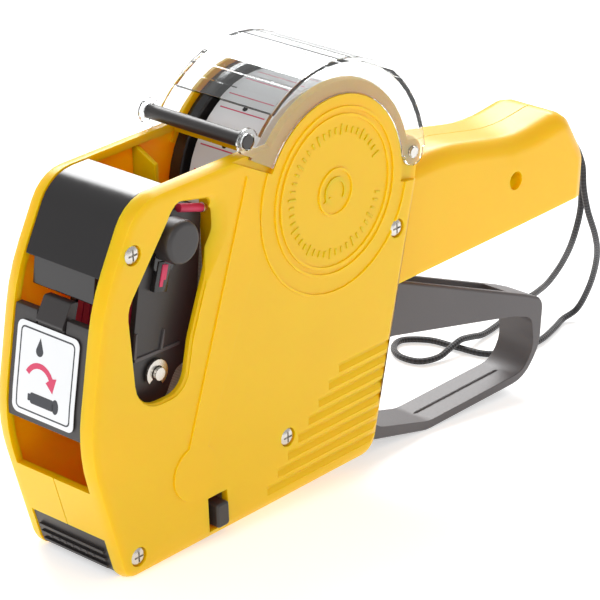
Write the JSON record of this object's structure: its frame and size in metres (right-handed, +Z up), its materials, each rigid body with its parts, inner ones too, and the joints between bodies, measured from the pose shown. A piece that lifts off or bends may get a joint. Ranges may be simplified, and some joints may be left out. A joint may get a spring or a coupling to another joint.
{
  "type": "price labelling gun",
  "caption": "Handheld price labelling gun: two-shell body with a handle, squeeze lever, print head, ink door, clear reel cover over a label roll, and a wrist strap.",
  "frame": {"origin": "bottom centre of the gun's bounding box, without the wrist strap, on the surface that it rests on", "axes": "+X from the nose to the handle, +Y across the gun towards the side without the window, +Z up"},
  "size_m": [0.2712, 0.0698, 0.1367],
  "materials": {
    "yellow_abs": "glossy moulded ABS",
    "black_abs": "satin moulded ABS",
    "gloss_black": "glossy moulded ABS",
    "lever_grey": "satin moulded glass-filled nylon",
    "clear_pc": "clear moulded polycarbonate",
    "nickel_steel": "nickel plated steel",
    "red_rubber": "moulded rubber",
    "paper": "label paper",
    "card": "kraft card",
    "felt": "ink felt",
    "white_plastic": "smooth moulded acetal",
    "strap_cord": "braided nylon cord"
  },
  "bodies": {
    "root": {"right_shell": "yellow_abs", "left_shell": "yellow_abs", "strap_eyelet": "black_abs", "wrist_strap": "strap_cord", "case_screw_1": "nickel_steel", "case_screw_2": "nickel_steel", "case_screw_3": "nickel_steel", "case_screw_4": "nickel_steel", "handle_screw": "nickel_steel", "nose_visor": "gloss_black", "front_guard": "black_abs", "feed_bed": "black_abs", "label_web": "paper", "feed_axle": "nickel_steel", "feed_pawl": "nickel_steel", "pivot_shaft": "nickel_steel", "lever_spring": "nickel_steel", "reel_flange": "gloss_black", "cover_pin_right": "nickel_steel", "cover_pin_left": "nickel_steel"},
    "lever": {"trigger_lever": "lever_grey", "head_frame": "black_abs", "head_cowl": "gloss_black", "head_shaft": "nickel_steel", "head_clip_right": "nickel_steel", "head_clip_left": "nickel_steel", "digit_band_1": "red_rubber", "digit_band_2": "red_rubber", "digit_band_3": "red_rubber", "digit_band_4": "red_rubber", "digit_band_5": "red_rubber", "digit_band_6": "red_rubber", "digit_band_7": "red_rubber", "digit_band_8": "red_rubber", "band_drum": "black_abs", "band_nose": "nickel_steel"},
    "selector": {"selector_slide": "gloss_black", "pointer": "red_rubber"},
    "knob": {"selector_knob": "black_abs"},
    "door": {"ink_door": "black_abs", "door_sticker": "white_plastic"},
    "ink_roller": {"ink_core": "white_plastic", "ink_felt": "felt"},
    "cover": {"reel_cover": "clear_pc", "cover_rod": "black_abs"},
    "roll": {"roll_core": "card", "label_roll": "paper"},
    "feed": {"feed_wheel": "black_abs", "ratchet_wheel": "white_plastic"},
    "arm": {"feed_arm": "nickel_steel"},
    "link": {"feed_link": "nickel_steel"},
    "guide": {"guide_roller": "nickel_steel"},
    "bottom": {"bottom_cover": "black_abs"},
    "latch": {"latch_right": "black_abs", "latch_left": "black_abs"}
  },
  "joints": [
    {"name": "lever_squeeze", "type": "hinge", "parent": "root", "child": "lever", "pos_m": [0.00242, 0, 0.05358], "axis": [0, -1, 0], "range_deg": [0, 17], "stiffness_Nm_per_rad": 0.6, "springref_deg": -57.3},
    {"name": "selector_pull", "type": "slide", "parent": "lever", "child": "selector", "axis": [0, -1, 0], "range_m": [0, 0.0186]},
    {"name": "knob_turn", "type": "hinge", "parent": "selector", "child": "knob", "pos_m": [-0.07879, 0, 0.09681], "axis": [0, -1, 0], "continuous": true},
    {"name": "door_open", "type": "hinge", "parent": "root", "child": "door", "pos_m": [-0.10906, 0, 0.04731], "axis": [0, -1, 0], "range_deg": [0, 95]},
    {"name": "ink_roll", "type": "hinge", "parent": "door", "child": "ink_roller", "pos_m": [-0.101, 0, 0.05162], "axis": [0, 1, 0], "continuous": true},
    {"name": "cover_open", "type": "hinge", "parent": "root", "child": "cover", "pos_m": [0.01788, 0, 0.10167], "axis": [0, 1, 0], "range_deg": [0, 95]},
    {"name": "roll_turn", "type": "hinge", "parent": "root", "child": "roll", "pos_m": [-0.01642, 0, 0.09712], "axis": [0, 1, 0], "continuous": true},
    {"name": "feed_turn", "type": "hinge", "parent": "root", "child": "feed", "pos_m": [-0.04047, 0, 0.01573], "axis": [0, 1, 0], "continuous": true},
    {"name": "arm_swing", "type": "hinge", "parent": "root", "child": "arm", "pos_m": [-0.04047, 0, 0.01573], "axis": [0, 1, 0], "range_deg": [0, 31.4]},
    {"name": "link_slide", "type": "slide", "parent": "root", "child": "link", "axis": [0.9958, 0, -0.0912], "range_m": [0, 0.0078]},
    {"name": "guide_turn", "type": "hinge", "parent": "root", "child": "guide", "pos_m": [-0.06145, 0, 0.01923], "axis": [0, 1, 0], "continuous": true},
    {"name": "bottom_open", "type": "hinge", "parent": "root", "child": "bottom", "pos_m": [-0.0909, 0, 0.00241], "axis": [0, 1, 0], "range_deg": [0, 80]},
    {"name": "latch_press", "type": "slide", "parent": "root", "child": "latch", "axis": [-0.0866, 0, 0.9962], "range_m": [0, 0.0025], "stiffness_N_per_m": 200, "springref_m": -0.003}
  ],
  "couplings": [
    {"joint": "arm_swing", "follows": "lever_squeeze", "ratio": 1.847},
    {"joint": "link_slide", "follows": "lever_squeeze", "m_per_rad": 0.02629}
  ]
}
